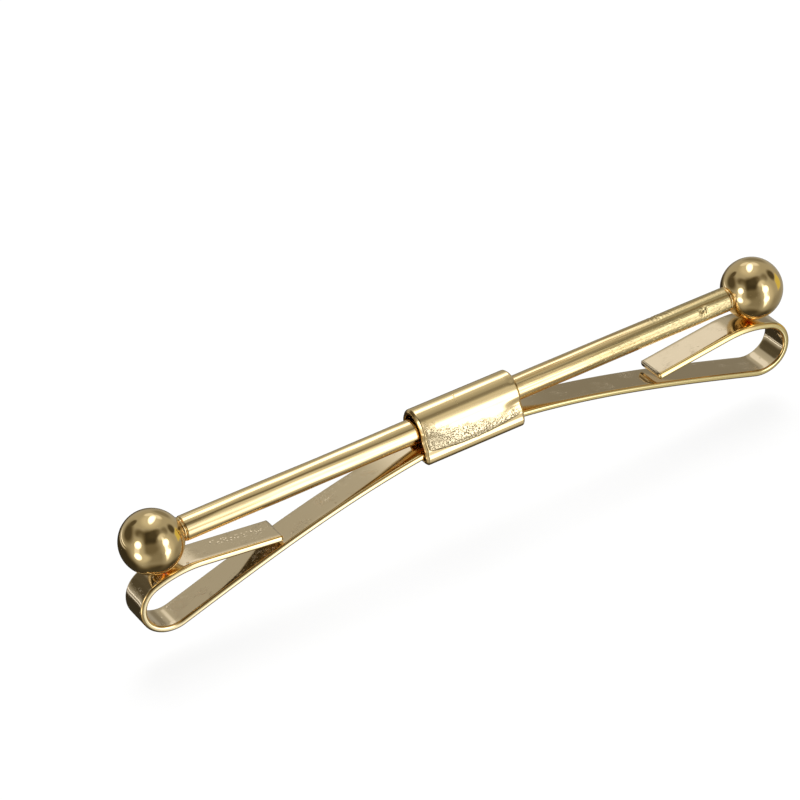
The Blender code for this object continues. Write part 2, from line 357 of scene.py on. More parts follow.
# Bar: rings at even steps, a quarter circle down to each neck, then the spigot let into the ball. Its skin
# is moved by slow waves and by fine ones drawn out along it, and each pit is a bell-shaped hollow times one
# plus finer waves.
def makeBar():
    shoulder = ballX - ballRadius - spigot["neck"]
    rounding = barShape["endRounding"]
    necked = barShape["neckRings"]
    straight = np.arange(0, shoulder - rounding, barShape["ringEvery"])
    quarter = np.linspace(0, math.pi / 2, barShape["roundingRings"])
    x = np.concatenate([
        straight,
        shoulder - rounding * (1 - np.sin(quarter)),
        np.linspace(shoulder, spigot["tip"], necked),
    ])
    radius = np.concatenate([
        np.full(len(straight), barRadius),
        barRadius - rounding * (1 - np.cos(quarter)),
        np.full(necked, spigot["radius"]),
    ])
    x = np.concatenate([-x[:0:-1], x])
    radius = np.concatenate([radius[:0:-1], radius])
    rows = turned(x, radius, barShape["steps"])
    amount = barShape["wander"] * waves(rows * [0.15, 1, 1], barShape["wanderSize"], 3)
    shallow, deep = barShape["streaks"]
    streaks = shallow + (deep - shallow) * step(rows[..., 0], *barShape["streaksDeepen"])
    amount += streaks * waves(rows * [0.02, 1, 1], barShape["streakSize"], 5, 50)
    for along, turn, size, depth in barShape["pits"]:
        turn = math.radians(turn)
        pit = np.array([along, -barRadius * math.sin(turn), axisHeight + barRadius * math.cos(turn)])
        reach = np.linalg.norm(rows - pit, axis=-1) / size
        grain = barShape["pitRoughness"] * waves(rows, barShape["pitGrain"], 8)
        amount -= depth * np.exp(-(reach ** 2)) * (1 + grain)
    outside = np.abs(rows[..., 0]) < shoulder - rounding / 2
    rows = swell(rows, amount * outside)
    tip = spigot["tip"]
    piece = gridPiece("bar_surface", rows, np.array([[-tip, 0, axisHeight], [tip, 0, axisHeight]]))
    dress(piece, barMaterial(), ["bar"], "bar_and_sleeve")


ballFinish = {"roughness": 0.055, "peel": 0.0010 * mm, "specks": 0.002 * mm}


def ballMaterial():
    material, shader = newMaterial("ball_gold_plate")
    peel = shader.noise(shader.place(), 1.1, 2.0)
    dust = shader.rise(shader.cells(shader.place(), 2.3), 0.0, 0.07)
    relief = shader.bump(peel, ballFinish["peel"])
    relief = shader.bump(dust, ballFinish["specks"], relief)
    cloud = shader.noise(shader.place(), 0.5, 3.0)
    roughness = ballFinish["roughness"] + shader.rise(cloud, 0.35, 0.7) * 0.035 + (1 - dust) * 0.15
    colour = shader.blendColour(cloud * 0.35, goldTone["rich"], goldTone["deep"])
    finishGold(shader, colour, roughness, relief)
    return material


ballShape = {"rings": 90, "boreRings": 5, "steps": 120, "bore": 0.6 * mm, "boreDepth": 1.5 * mm}


# Ball: a half circle turned about the bar's axis from its far pole to the rim of the drilled hole, then
# the hole's wall down to its flat bottom. The left one is the right one seen in a mirror.
def makeBalls(material):
    rim = math.asin(ballShape["bore"] / ballRadius)
    angle = np.linspace(math.pi / 2 / ballShape["rings"], math.pi - rim, ballShape["rings"])
    bottom = ballX - ballRadius + ballShape["boreDepth"]
    x = ballX + ballRadius * np.cos(angle)
    radius = ballRadius * np.sin(angle)
    drilled = ballShape["boreRings"]
    x = np.concatenate([x, np.linspace(x[-1], bottom, drilled + 1)[1:]])
    radius = np.concatenate([radius, np.full(drilled, ballShape["bore"])])
    for side, sign in (("left", -1), ("right", 1)):
        rows = turned(sign * x, radius, ballShape["steps"])
        poles = np.array([[sign * (ballX + ballRadius), 0, axisHeight], [sign * bottom, 0, axisHeight]])
        if sign > 0:
            rows, poles = rows[::-1], poles[::-1]
        piece = gridPiece(side + "_ball_surface", rows, poles)
        dress(piece, material, [side + "_ball"], "bar_and_sleeve")


solderFinish = {
    "roughness": 0.08,
    "lumps": 0.012 * mm,
    "hollow": (0.86, 0.50, 0.17, 1),
    "raised": (0.96, 0.72, 0.33, 1),
}


def solderMaterial():
    material, shader = newMaterial("solder_gold_plate")
    lumps = shader.noise(shader.place(), 4.5, 4.0, 0.6)
    relief = shader.bump(lumps, solderFinish["lumps"])
    height = shader.rise(lumps, 0.3, 0.55)
    colour = shader.blendColour(height, solderFinish["hollow"], solderFinish["raised"])
    finishGold(shader, colour, solderFinish["roughness"] + lumps * 0.14, relief)
    return material


solderShape = {
    "inset": 0.06 * mm,  # from the bar's surface
    "bulge": 0.03 * mm,
    "neckGap": 0.05 * mm,
    "sideGap": 0.02 * mm,  # to the bar's end and to the ball
    "lumps": 0.012 * mm,
    "lumpSize": 0.5 * mm,
    "profileRows": 13,
    "steps": 96,
}


# Where along the bar the solder meets the ball, for a distance from the bar's axis
def solderBallSide(radius):
    return ballX - math.sqrt((ballRadius + solderShape["sideGap"]) ** 2 - radius ** 2)


# Solder bead: a closed outline between the ball, the bar's end and the neck, turned about the bar's axis.
# Its top is half a sine wave from the bar's end to the ball, with lumps added by waves.
def makeSolder(material):
    inner = spigot["radius"] + solderShape["neckGap"]
    outer = barRadius - solderShape["inset"]
    barSide = ballX - ballRadius - spigot["neck"] + solderShape["sideGap"]
    share = np.linspace(0, 1, solderShape["profileRows"])
    topX = barSide + (solderBallSide(outer) - barSide) * share
    topRadius = outer + solderShape["bulge"] * np.sin(math.pi * share)
    x = np.concatenate([[barSide], topX, [solderBallSide(inner)]])
    radius = np.concatenate([[inner], topRadius, [inner]])
    for side, sign in (("left", -1), ("right", 1)):
        rows = turned(sign * x, radius, solderShape["steps"])
        lumps = solderShape["lumps"] * waves(rows, solderShape["lumpSize"], 12 + sign)
        rows = swell(rows, lumps * (radius > outer)[:, None])
        if sign < 0:
            rows = rows[::-1]
        piece = gridPiece(side + "_solder_bead", rows, closedAlong=True)
        dress(piece, material, [side + "_solder_ring"], "bar_and_sleeve")


# The flat spring's side view, with the solids' sizes and rounder edges
springShape = {
    "width": 2.75 * mm,
    "thickness": 0.55 * mm,
    "edgeRounding": 0.2 * mm,
    "mouthSlope": math.radians(7.5),  # how steeply it falls where it leaves the sleeve
    "runSlope": math.radians(17.5),  # and where the run meets the loop
    "bottomRadius": 2.5 * mm,
    "endRadius": 2.0 * mm,
    "topRadius": 8.8 * mm,
    "endFrom": math.radians(35),  # headings between which the loop's end arc turns
    "endTo": math.radians(160),
    "tongueSlope": math.radians(7),
    "tongueLength": 6.7 * mm,
    "contactTilt": math.radians(11),  # how far inboard of the ball's bottom the loop bears, as an angle
    "edgeLean": {"left": 0.0, "right": 0.09},  # how far the cut edges lean, as rise over run
    "middleGap": 0.04 * mm,  # between the two halves' ends, out of sight in the sleeve
    "bendEnd": 13 * mm,  # from the middle, how far out the opening bend is spread
    "seatRows": 23,
    "runRows": 149,
    "loopRows": (28, 50, 44),
    "tongueRows": 56,
    "endRows": 5,  # in the rounding at each end
}
cornerPoints, flatPoints = 7, 6  # of the strip's outline
seatTop = -barRadius - fitGap
halfThickness = springShape["thickness"] / 2
seatRadius = mouthX / math.sin(springShape["mouthSlope"])
mouthZ = seatTop - halfThickness - seatRadius * (1 - math.cos(springShape["mouthSlope"]))


def onLeftArc(centre, radius, angle):
    return np.stack([centre[0] + radius * np.sin(angle), centre[1] - radius * np.cos(angle)], axis=-1)


# Middle of the right half's thickness, as (x, z from the bar's axis) and heading: the seat's shallow arc,
# a cubic run whose slope is set at both ends, three left-turning arcs, and the straight tongue
def springPath():
    s = springShape
    reach = ballRadius + fitGap + halfThickness + s["topRadius"]
    top = np.array([ballX - reach * math.sin(s["contactTilt"]), -reach * math.cos(s["contactTilt"])])
    end = onLeftArc(top, s["topRadius"] - s["endRadius"], s["endTo"])
    bottom = onLeftArc(end, s["endRadius"] - s["bottomRadius"], s["endFrom"])
    x = np.linspace(s["middleGap"] / 2, mouthX, s["seatRows"], endpoint=False)
    angle = np.arcsin(x / seatRadius)
    pieces = [np.stack([x, seatTop - halfThickness - seatRadius * (1 - np.cos(angle))], axis=-1)]
    headings = [-angle]
    start = np.array([mouthX, mouthZ])
    finish = onLeftArc(bottom, s["bottomRadius"], -s["runSlope"])
    handle = np.linalg.norm(finish - start) / 3
    out = np.array([math.cos(s["mouthSlope"]), -math.sin(s["mouthSlope"])])
    back = np.array([math.cos(s["runSlope"]), -math.sin(s["runSlope"])])
    cage = np.stack([start, start + handle * out, finish - handle * back, finish])
    t = np.linspace(0, 1, s["runRows"], endpoint=False)[:, None]
    weights = np.concatenate([(1 - t) ** 3, 3 * t * (1 - t) ** 2, 3 * t * t * (1 - t), t ** 3], axis=1)
    slopes = np.concatenate([(1 - t) ** 2, 2 * t * (1 - t), t * t], axis=1) @ np.diff(cage, axis=0)
    pieces.append(weights @ cage)
    headings.append(np.arctan2(slopes[:, 1], slopes[:, 0]))
    tongue = math.pi + s["tongueSlope"]
    arcs = (
        (bottom, s["bottomRadius"], -s["runSlope"], s["endFrom"]),
        (end, s["endRadius"], s["endFrom"], s["endTo"]),
        (top, s["topRadius"], s["endTo"], tongue),
    )
    for (centre, radius, first, last), count in zip(arcs, s["loopRows"]):
        angle = np.linspace(first, last, count, endpoint=False)
        pieces.append(onLeftArc(centre, radius, angle))
        headings.append(angle)
    root = onLeftArc(top, s["topRadius"], tongue)
    along = np.linspace(0, s["tongueLength"], s["tongueRows"])[:, None]
    pieces.append(root + along * np.array([math.cos(tongue), math.sin(tongue)]))
    headings.append(np.full(len(along), tongue))
    return np.concatenate(pieces), np.concatenate(headings)


# Closed outline of a rectangle with rounded corners, as (up, across), from its first corner on
def stripOutline():
    halfHigh, halfWide, rounding = halfThickness, springShape["width"] / 2, springShape["edgeRounding"]
    quarter = np.linspace(0, math.pi / 2, cornerPoints)
    flat = np.linspace(0, 1, flatPoints + 2)[1:-1]
    corners = []
    for signUp, signAcross, quarterTurn in ((1, 1, 0), (-1, 1, 1), (-1, -1, 2), (1, -1, 3)):
        angle = quarter + quarterTurn * math.pi / 2
        corners.append(np.stack([
            signUp * (halfHigh - rounding) + rounding * np.cos(angle),
            signAcross * (halfWide - rounding) + rounding * np.sin(angle),
        ], axis=-1))
    outline = []
    for here, there in zip(corners, corners[1:] + corners[:1]):
        outline += [here, here[-1] + flat[:, None] * (there[0] - here[-1])]
    return np.concatenate(outline).T


springFinish = {
    "roughness": 0.085,
    "rolling": 0.0009 * mm,
    "scratch": 0.012 * mm,
    "sides": (0.22, 0.1),  # millimetres from each cut side between which the flat face ends
    "worn": (-12, -6),  # millimetres along the clip between which the marks of wear at its left fade
    "pitRow": {  # on the left tongue, in millimetres
        "from": -22.3,
        "to": -17.6,
        "fadeIn": 0.3,
        "fadeOut": 0.5,
        "y": 0.5,
        "lean": -0.08,
        "halfWidth": (0.1, 0.4),
        "floor": (-4.2, -4.1),  # below the bar's axis
    },
    "halfLine": 0.05,  # millimetres, of each painted reflection line in deeper gold along the strip's four corners
    "edgeDeepens": (-14, 4),  # millimetres along the clip between which the cut edges turn yellower
}


# How far round the outline, in millimetres, the middle of each corner lies
def cornerPlaces():
    up, across = stripOutline()
    lengths = np.hypot(np.diff(up), np.diff(across))
    distance = np.concatenate([[0], np.cumsum(lengths)]) / mm
    return distance[cornerPoints // 2::cornerPoints + flatPoints]


def springMaterial():
    material, shader = newMaterial("spring_gold_plate")
    x, y, z = shader.parts(shader.place())
    around = shader.parts(shader.mapped())[1]
    halfWide = springShape["width"] / 2 / mm
    faceEnd, sideStart = springFinish["sides"]
    face = shader.fall(abs(y), halfWide - faceEnd, halfWide - sideStart)
    worn = shader.rise(x, *springFinish["worn"], 1.0, 0.25)
    rolled = shader.noise(shader.mapped((0.05, 1.0, 1)), 6.0, 3.0, 0.55)
    ripple = shader.noise(shader.mapped(), 0.8, 2.0)
    hairs = shader.noise(shader.mapped((0.35, 2.2, 1)), 3.2, 1.0, 0.5, 1.2)
    hairline = shader.rise(hairs, 0.488, 0.5) * shader.fall(hairs, 0.5, 0.512)
    zone = shader.rise(shader.noise(shader.mapped(), 0.55, 2.0), 0.52, 0.66) * worn
    pits = shader.fall(shader.cells(shader.mapped(), 0.9), 0.05, 0.11) * worn
    row = springFinish["pitRow"]
    away = abs(y - (x - row["from"]) * row["lean"] - row["y"])
    near = shader.fall(away, *row["halfWidth"]) * shader.rise(z - axisHeight / mm, *row["floor"])
    near = near * shader.rise(x, row["from"], row["from"] + row["fadeIn"])
    near = near * shader.fall(x, row["to"] - row["fadeOut"], row["to"])
    pits = pits + near * shader.fall(shader.cells(shader.place(), 4.0), 0.2, 0.46)
    relief = shader.bump((rolled * 0.5 + ripple) * face, springFinish["rolling"])
    relief = shader.bump((hairline * zone * -1 - pits * 1.6) * face, springFinish["scratch"], relief)
    cloud = shader.noise(shader.mapped(), 0.45, 3.0)
    roughness = springFinish["roughness"] + shader.rise(cloud, 0.35, 0.7) * 0.04 + hairline * zone * 0.2
    # Painted reflection: deeper gold lines along the strip's four rounded corners
    half = springFinish["halfLine"]
    line = sum(shader.fall(abs(around - float(place)), half, half * 1.5) for place in cornerPlaces())
    colour = shader.blendColour(cloud * 0.3, goldTone["pale"], goldTone["dusky"])
    edge = (1 - face) * shader.rise(x, *springFinish["edgeDeepens"], 0.45, 0.9)
    colour = shader.blendColour(edge, colour, goldTone["edge"])
    colour = shader.blendColour(line * 0.8, colour, goldTone["corner"])
    finishGold(shader, colour, roughness, relief)
    return material


# Spring half: the rounded strip outline carried along the path, drawn in by a quarter circle at both ends.
# The left half is the right one turned half round about the upright axis, apart from the lean of its edges.
def makeSpring(material):
    path, heading = springPath()
    rounding = springShape["edgeRounding"]
    outward = np.stack([np.cos(heading), np.sin(heading)], axis=-1)
    halfWide = springShape["width"] / 2
    endRows = springShape["endRows"]
    ease = np.linspace(0, math.pi / 2, endRows, endpoint=False)
    drawnIn = rounding * (1 - np.sin(ease))
    inset = np.concatenate([drawnIn, np.zeros(len(path) - 2), drawnIn[::-1]])
    shift = rounding * (1 - np.cos(ease))[:, None]
    first = path[0] + outward[0] * shift
    last = path[-1] - outward[-1] * shift[::-1]
    path = np.concatenate([first, path[1:-1], last])
    heading = np.concatenate([np.full(endRows, heading[0]), heading[1:-1], np.full(endRows, heading[-1])])
    up, across = stripOutline()
    reachUp = up * (1 - inset[:, None] / halfThickness)
    reachAcross = across * (1 - inset[:, None] / halfWide)
    normal = np.stack([-np.sin(heading), np.cos(heading)], axis=-1)
    x = path[:, None, 0] + normal[:, None, 0] * reachUp
    z = path[:, None, 1] + normal[:, None, 1] * reachUp + axisHeight
    rows = np.stack([x, reachAcross, z], axis=-1)
    ends = np.array([[end[0], 0, end[1] + axisHeight] for end in (path[0], path[-1])])
    for side, sign, nodes in (("left", -1, ["left_arm", "spring_seat"]), ("right", 1, ["right_arm"])):
        placed = rows * [sign, sign, 1]
        placed[..., 1] += springShape["edgeLean"][side] * reachUp * placed[..., 1] / halfWide
        piece = gridPiece(side + "_spring_strip", placed, ends * [sign, 1, 1])
        piece.data.materials.append(material)
        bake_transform(piece)
        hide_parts(*nodes)
        print("made", piece.name, len(piece.data.polygons), "faces")


sleeveShape = {
    "wall": 0.4 * mm,
    "play": 0.2 * mm,  # how much further than the gap the sleeve stands off the bar's top
    "crimp": 0.15 * mm,  # how far each flank is pressed in between the bar and the spring, at the mouths
    "middleCrimp": 0.2,  # share of that at mid-length
    "crimpEases": (0.3 * mm, 2.0 * mm),  # from each mouth, between which it drops to that
    "slump": 0.06 * mm,  # how far the hand-closed crown is pushed back from the front
    "slumpFaces": (0, 35, 95, 140),  # degrees over the top from the front, where it starts, turns and ends
    "rimLength": 0.25 * mm,  # each mouth's outer edge is drawn in over this length
    "rimDrop": 0.27 * mm,  # and by this much
    "rimTilt": math.radians(50),  # with a flat at this angle in its middle
    "innerRim": 0.1 * mm,
    "hammered": 0.07 * mm,  # how far each flank's outside is beaten in at the crease above its foot
    "hammeredFrom": 0.3,  # millimetres from the bar's axis
    "crease": -1.47,
    "creaseWidth": 0.22,
    "tuck": 0.03 * mm,  # how far the foot under the crease leans in
    "tuckHeight": 0.4,
    "outsideRows": 170,
    "insideRows": 24,
    "rimRows": 18,
    "innerRimRows": 9,
    "dent": (4.0 * mm, -0.66 * mm, 1.32 * mm),  # from the sleeve's middle on the bar's axis
    "dentSize": 0.26 * mm,
    "dentDepth": 0.07 * mm,
}


# Sleeve's section at no distance from what it holds, as points, outward normals, share of the crimp and the
# angle that it faces, counted from the front over the top: an arc round the bar, a straight flank, the
# spring's edge and the flat under it, then the same again on the other side. The crimp presses each flank
# in by one smooth wave.
def sleeveSection():
    lift = sleeveShape["play"] / 2
    crown = barRadius + lift
    low = mouthZ - halfThickness * math.cos(springShape["mouthSlope"])
    halfWide = springShape["width"] / 2
    drop = lift - seatTop
    flank = math.acos(crown / math.hypot(halfWide, drop)) - math.atan2(drop, halfWide)
    flankTop = (crown * math.cos(flank), lift + crown * math.sin(flank))
    up = math.pi / 2
    spans = (  # centre at its start and end, radius, angle at its start and end, points, share of the crimp
        ((0, lift), (0, lift), crown, up, flank, 60, 0),
        (flankTop, (halfWide, seatTop), 0, flank, flank, 34, 1),
        ((halfWide, seatTop), (halfWide, seatTop), 0, flank, 0, 6, 0),
        ((halfWide, seatTop), (halfWide, low), 0, 0, 0, 12, 0),
        ((halfWide, low), (halfWide, low), 0, 0, -up, 16, 0),
        ((halfWide, low), (0, low), 0, -up, -up, 12, 0),
    )
    points, angles, pressed = [], [], []
    for start, finish, radius, fromAngle, toAngle, count, crimped in spans:
        share = np.linspace(0, 1, count, endpoint=False)
        angle = fromAngle + (toAngle - fromAngle) * share
        middle = np.array(start) + share[:, None] * (np.array(finish) - np.array(start))
        points.append(middle + radius * np.stack([np.cos(angle), np.sin(angle)], axis=-1))
        angles.append(angle)
        pressed.append(crimped * (1 - np.cos(2 * math.pi * share)) / 2)
    points = np.concatenate(points + [[[0, low]]])
    angle = np.concatenate(angles + [[-up]])
    pressed = np.concatenate(pressed + [[0]])
    normals = np.stack([np.cos(angle), np.sin(angle)], axis=-1)
    points = np.concatenate([points, points[-2:0:-1] * [-1, 1]])
    normals = np.concatenate([normals, normals[-2:0:-1] * [-1, 1]])
    pressed = np.concatenate([pressed, pressed[-2:0:-1]])
    return points, normals, pressed, np.degrees(np.concatenate([math.pi - angle, angle[-2:0:-1]]))


# Where the sleeve's plating is grainy: the upper limit falls to the right, and both limits sag a little in
# the middle. Heights are from the bar's axis, and all is in millimetres.
grainBand = {"top": -0.08, "topFall": -0.2, "topSag": 0.03, "bottom": -1.5, "bottomSag": 0.03}

sleeveFinish = {
    "roughness": 0.10,
    "peel": 0.0016 * mm,
    "grain": 0.030 * mm,  # depth of the small pits that lie side by side
    "lumps": 0.018 * mm,
    "pits": 0.036 * mm,  # depth of the scattered larger ones
    "scratch": 0.012 * mm,  # across the crown, left of the middle
    "scratchX": -0.67,
    "scratchLean": 0.13,
    "offCrown": (0.7, 1.0),  # millimetres to either side between which the grain sets in
    "dullLeft": (-3.4, -0.5),  # along the clip, between which its duller left end fades
    "mouthFade": (0.5, 0.25),  # millimetres from each mouth between which the grain ends
    "edge": (0.12, 0.04),  # and between which the painted reflection on the rim, in deeper gold, sets in
    "rimRound": 0.54,  # millimetres round each mouth's rim, from the outside to the bore
    "boreSoft": 0.1,
}


def sleeveMaterial():
    material, shader = newMaterial("sleeve_gold_plate")
    x, y, z = shader.parts(shader.place())
    up = z - axisHeight / mm
    mouth = mouthX / mm
    fadeFrom, fadeTo = sleeveFinish["mouthFade"]
    ends = shader.fall(abs(x), mouth - fadeFrom, mouth - fadeTo)
    ragged = (shader.noise(shader.place(), 1.6, 3.0) - 0.5) * 0.8
    top = grainBand["top"] + x * grainBand["topFall"] + x * x * grainBand["topSag"] + ragged - up
    low = up - x * x * grainBand["bottomSag"] - grainBand["bottom"] + ragged * 0.2
    zone = shader.rise(top, -0.1, 0.8) * shader.rise(low, -0.05, 0.1) * ends
    zone = zone * shader.rise(abs(y), *sleeveFinish["offCrown"])
    deep = zone * shader.rise(low + x * -0.12, 0.15, 0.75, 1.0, 0.15)
    fine = shader.rise(shader.cells(shader.place(), 9.5), 0.0, 0.55)
    coarse = shader.noise(shader.place(), 3.4, 3.0, 0.6)
    pits = shader.fall(shader.cells(shader.place(), 4.8), 0.08, 0.3)
    peel = shader.noise(shader.place((0.25, 1, 1)), 2.6, 3.0)
    offLine = abs(x - y * sleeveFinish["scratchLean"] - sleeveFinish["scratchX"])
    scratch = shader.fall(offLine, 0.02, 0.06) * shader.rise(y, -0.9, -0.75) * shader.fall(y, -0.15, 0.05)
    scratch = scratch * shader.rise(up, 0.2, 0.5)
    relief = shader.bump(peel, sleeveFinish["peel"])
    relief = shader.bump(fine * zone, sleeveFinish["grain"], relief)
    relief = shader.bump(coarse * zone, sleeveFinish["lumps"], relief)
    relief = shader.bump(pits * deep * -1, sleeveFinish["pits"], relief)
    relief = shader.bump(scratch * -1, sleeveFinish["scratch"], relief)
    cloud = shader.noise(shader.place(), 0.8, 3.0)
    roughness = sleeveFinish["roughness"] + zone * 0.08 + shader.rise(cloud, 0.4, 0.7) * 0.04 + scratch * 0.2
    roughness = roughness + zone * shader.rise(x, *sleeveFinish["dullLeft"], 0.16, 0.0)
    colour = shader.blendColour(cloud * 0.15, goldTone["rich"], goldTone["deep"])
    colour = shader.blendColour(zone * 0.7, colour, goldTone["worn"])
    colour = shader.blendColour(pits * deep * 0.45, colour, goldTone["tarnish"])
    # Painted shade on the bore's inside wall, which lies along the map between the two rims
    along = shader.parts(shader.mapped())[0]
    boreFrom = 2 * (mouthX - sleeveShape["rimLength"]) / mm + sleeveFinish["rimRound"]
    boreTo = boreFrom + 2 * (mouthX - sleeveShape["innerRim"]) / mm
    soft = sleeveFinish["boreSoft"]
    bore = shader.rise(along, boreFrom - soft, boreFrom + soft)
    bore = bore * shader.fall(along, boreTo - soft, boreTo + soft)
    colour = shader.blendColour(bore * 0.9, colour, goldTone["paintedBoreShade"])
    # Painted reflection: deeper gold over each mouth's rim
    edgeFrom, edgeTo = sleeveFinish["edge"]
    edge = shader.rise(abs(x), mouth - edgeFrom, mouth - edgeTo)
    colour = shader.blendColour(edge * 0.7, colour, goldTone["corner"])
    finishGold(shader, colour, roughness, relief)
    return material


# Sleeve: the section carried along the bar's axis and, at each row, moved out to the outer or the inner
# face. The rows go out along the outside, round one rim, back along the inside and round the other rim.
# The outer half of a rim is a run of short steps that turn smoothly to the flat's angle and on to upright,
# and its inner half a quarter circle. The crown leans back by smooth steps of the angle that it faces.
# Each flank's outside slopes in from the bar's height down to a crease, comes back out under it in one
# smooth step and leans in again at its foot. The dent near the right rim is a bell-shaped hollow.
def makeSleeve(material):
    s = sleeveShape
    base, normals, pressed, facing = sleeveSection()
    inner, outer = fitGap, fitGap + s["wall"]
    outside = np.linspace(-1, 1, s["outsideRows"]) * (mouthX - s["rimLength"])
    inside = np.linspace(1, -1, s["insideRows"]) * (mouthX - s["innerRim"])
    quarter = np.linspace(0, math.pi / 2, s["innerRimRows"] + 1)[1:]
    share = np.linspace(0, 1, s["rimRows"] + 1)
    tilt = s["rimTilt"] * step(share, 0, 0.3) + (math.pi / 2 - s["rimTilt"]) * step(share, 0.7, 1)
    lean = np.cumsum(np.stack([np.cos(tilt), np.sin(tilt)], axis=-1), axis=0)
    lean = (lean - lean[0])[1:] / (lean[-1] - lean[0])
    rimX = np.concatenate([
        mouthX - s["rimLength"] * (1 - lean[:, 0]),
        mouthX - s["innerRim"] * (1 - np.cos(quarter)),
    ])
    rimOut = np.concatenate([
        outer - s["rimDrop"] * lean[:, 1],
        inner + s["innerRim"] * (1 - np.sin(quarter)),
    ])
    x = np.concatenate([outside, rimX, inside[1:-1], -rimX[::-1]])
    flatOutside, flatInside = np.full(len(outside), outer), np.full(len(inside) - 2, inner)
    out = np.concatenate([flatOutside, rimOut, flatInside, rimOut[::-1]])
    front, forward, backward, rear = s["slumpFaces"]
    slump = 2 * step(facing, forward, backward) - 1
    slump *= step(facing, front, forward) * (1 - step(facing, backward, rear))
    crimp = s["crimp"] * (1 - (1 - s["middleCrimp"]) * step(mouthX - np.abs(x), *s["crimpEases"]))
    away = out[:, None] - crimp[:, None] * pressed + s["slump"] * slump
    section = base + normals * away[..., None]
    rows = np.stack([np.broadcast_to(x[:, None], away.shape), section[..., 0], section[..., 1]], axis=-1)
    up = rows[..., 2] / mm
    slope = np.clip((s["hammeredFrom"] - up) / (s["hammeredFrom"] - s["crease"]), 0, 1)
    beaten = s["hammered"] * (slope - step(s["crease"] - up, 0, s["creaseWidth"]))
    beaten += s["tuck"] * np.clip((s["crease"] - s["creaseWidth"] - up) / s["tuckHeight"], 0, 1)
    beaten *= np.abs(normals[:, 0]) * ((out - inner) / s["wall"])[:, None]
    bell = np.exp(-(np.linalg.norm(rows - np.array(s["dent"]), axis=-1) / s["dentSize"]) ** 2)
    rows[..., 1:] -= normals * (beaten + s["dentDepth"] * bell)[..., None]
    rows[..., 2] += axisHeight
    piece = gridPiece("sleeve_shell", rows, closedAlong=True)
    dress(piece, material, ["sleeve"], "bar_and_sleeve")


# Camera where the photograph was taken from, worked out from the outlines of the balls, bar and spring
cameraView = {
    "lens": 162,
    "sensor": 36,
    "clip": (0.01, 20),
    "azimuth": math.radians(-26.05),
    "elevation": math.radians(33.2),
    "roll": math.radians(-7.7),
    "distance": 274.2 * mm,
    "target": np.array([-3.78 * mm, 2.71 * mm, 1.19 * mm + axisHeight]),
}


def makeCamera():
    v = cameraView
    a, e = v["azimuth"], v["elevation"]
    back = np.array([math.sin(a) * math.cos(e), -math.cos(a) * math.cos(e), math.sin(e)])
    level = np.array([math.cos(a), math.sin(a), 0])
    upright = np.cross(back, level)
    right = level * math.cos(v["roll"]) + upright * math.sin(v["roll"])
    data = bpy.data.cameras.new("camera")
    data.sensor_width = v["sensor"]
    data.lens = v["lens"]
    data.clip_start, data.clip_end = v["clip"]
    camera = bpy.data.objects.new("camera", data)
    turn = np.eye(4)
    turn[:3, 0], turn[:3, 1], turn[:3, 2] = right, np.cross(back, right), back
    turn[:3, 3] = v["target"] + back * v["distance"]
    camera.matrix_world = Matrix(turn.tolist())
    bpy.context.scene.collection.objects.link(camera)
    bpy.context.scene.camera = camera


# What the polished metal mirrors: azimuth is 0 behind the clip, 90 to its right and 180 in front of it
tent = {
    "radius": 350 * mm,
    "rings": 48,
    "steps": 96,
    "wall": 0.40,
    "dark": (1, 0.88, 0.62, 1),  # colours of the shaded parts, of the wall and of the lamps
    "grey": (1, 1.0, 0.965, 1),
    "lit": (0.92, 0.97, 1.12, 1),
    "greyFrom": (0.04, 0.34),  # levels between which the colour turns to the wall's
    "litFrom": (0.5, 1.1),
    "card": {"azimuth": 95, "elevation": -5, "size": 13, "soft": 0.25, "power": 4, "level": 0.65},
    "cardTone": (1, 0.88, 0.25, 1),
    "patches": [  # azimuth, elevation, half width, half height, softness, roundness power, level
        (0, -90, 42, 42, 0.4, 2, 0.06),
        (150, -42, 60, 18, 0.5, 2, 0.27),
        (-158, -22, 34, 20, 0.5, 2, 0.24),
        (-28, -38, 50, 27, 0.3, 4, 0.04),
        (-40, -4.5, 20, 1.2, 0.5, 4, 1.5),
        (-40, -11.5, 20, 1.0, 0.5, 4, 1.1),
        (-50, 22, 28, 18, 0.45, 2, 0.08),
        (-26, 34, 9, 11, 0.3, 2, 0.09),
        (-98, 50, 24, 12, 0.5, 2, 0.12),
        (-148, 44, 26, 27, 0.35, 3, 0.05),
        (178, 56, 24, 14, 0.4, 2, 0.07),
        (131, 42, 16, 12, 0.5, 2, 0.19),
        (100, 21, 13, 14, 0.4, 2, 0.08),
        (44, 15, 16, 12, 0.4, 2, 0.24),
        (-150, 8, 30, 18, 0.5, 2, 0.16),
        (33, 69, 24, 28, 0.4, 2, 0.62),
        (50, 45, 11, 8, 0.5, 2, 0.95),
        (23, 41, 10, 8, 0.25, 2, 0.86),
        (38, 65, 8, 18, 0.35, 2, 2.7),
        (158, 36, 13, 9, 0.5, 2, 0.8),
        (-108, -2, 19, 40, 0.5, 2, 0.52),
        (-120, -20, 20, 13, 0.5, 2, 0.6),
        (-105, 1, 8, 18, 0.4, 3, 1.0),
        (-106, 18.5, 10.5, 10.5, 0.3, 2, 2.7),
        (-106, -16.5, 10, 10, 0.3, 2, 2.7),
        (152, -6, 20, 44, 0.5, 2, 0.6),
        (156, -8, 10, 30, 0.35, 3, 1.0),
        (159, -6, 5, 33, 0.4, 3, 2.4),
        (155, 12.5, 11, 11, 0.3, 2, 2.7),
        (157, -20, 9.5, 9.5, 0.3, 2, 2.7),
    ],
}


# Direction from the clip, x to its right and y behind it
def wayTo(azimuth, elevation):
    a, e = math.radians(azimuth), math.radians(elevation)
    return (math.sin(a) * math.cos(e), math.cos(a) * math.cos(e), math.sin(e))


